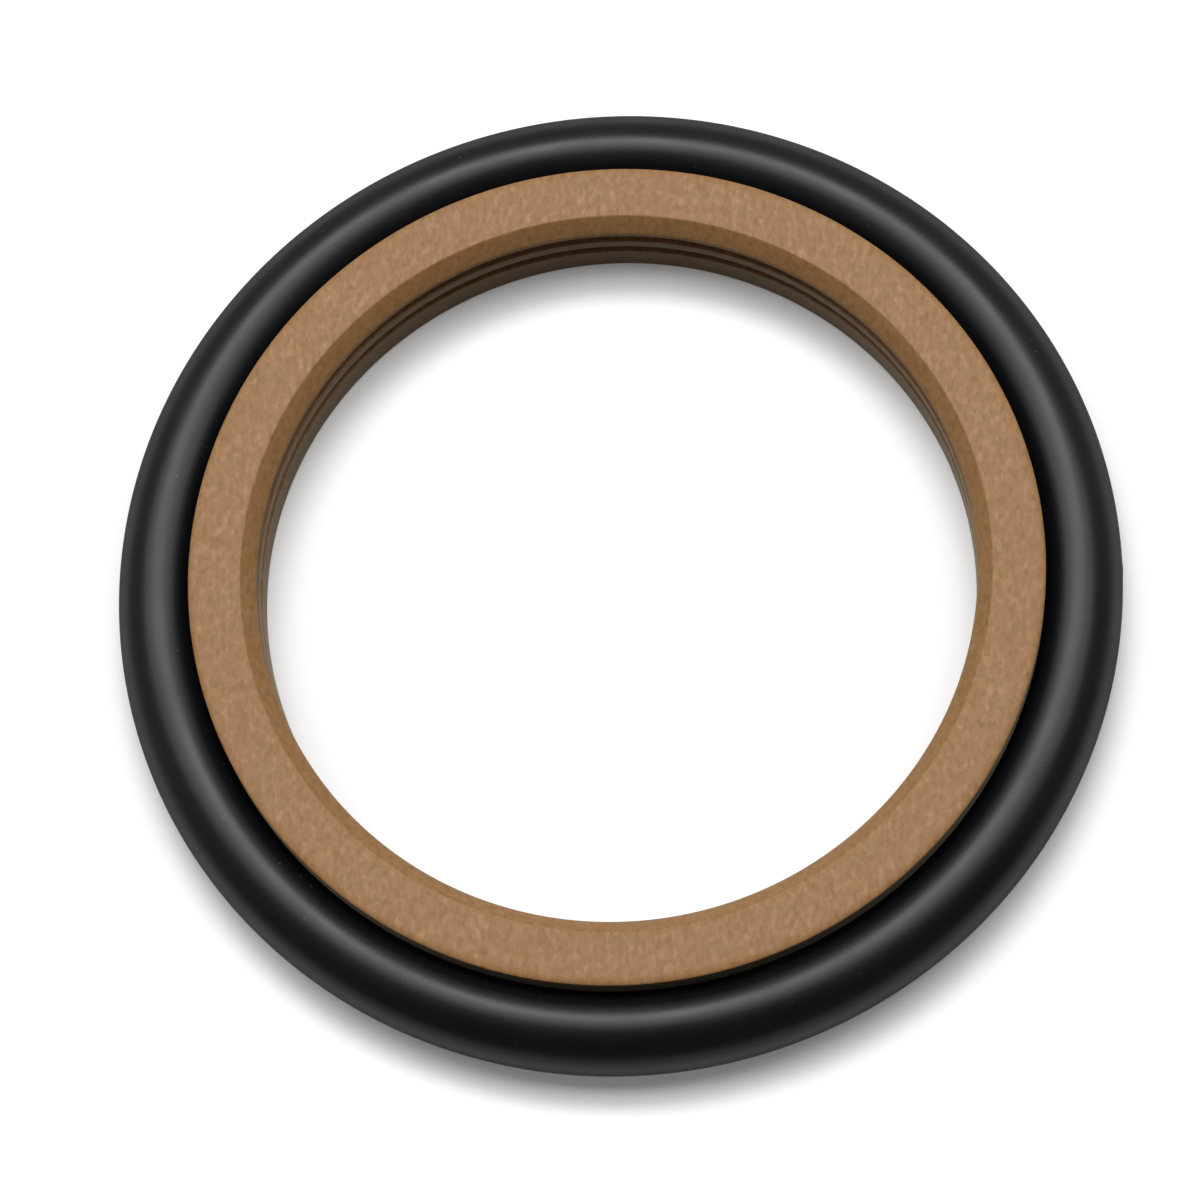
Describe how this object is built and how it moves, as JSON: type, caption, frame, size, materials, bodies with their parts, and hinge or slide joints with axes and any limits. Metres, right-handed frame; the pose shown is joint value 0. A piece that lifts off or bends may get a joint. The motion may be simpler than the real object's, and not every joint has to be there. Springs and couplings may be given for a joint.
{
  "type": "hydraulic rod buffer seal",
  "caption": "Hydraulic rod buffer seal: turned bronze-filled PTFE seal ring with a bevelled, grooved bore, pressed inwards by a rubber O-ring seated in its outer wall.",
  "frame": {"origin": "middle of the back face, on the rod's axis", "axes": "+Z along the rod's axis, out of the bevelled pressure side; X and Y in the plane of the back face"},
  "size_m": [0.0632, 0.0632, 0.006],
  "materials": {
    "bronze_ptfe": "turned, matt, with fine bronze specks",
    "nitrile_rubber": "moulded, satin black"
  },
  "bodies": {
    "root": {"seal_ring": "bronze_ptfe", "o_ring": "nitrile_rubber"}
  },
  "joints": []
}
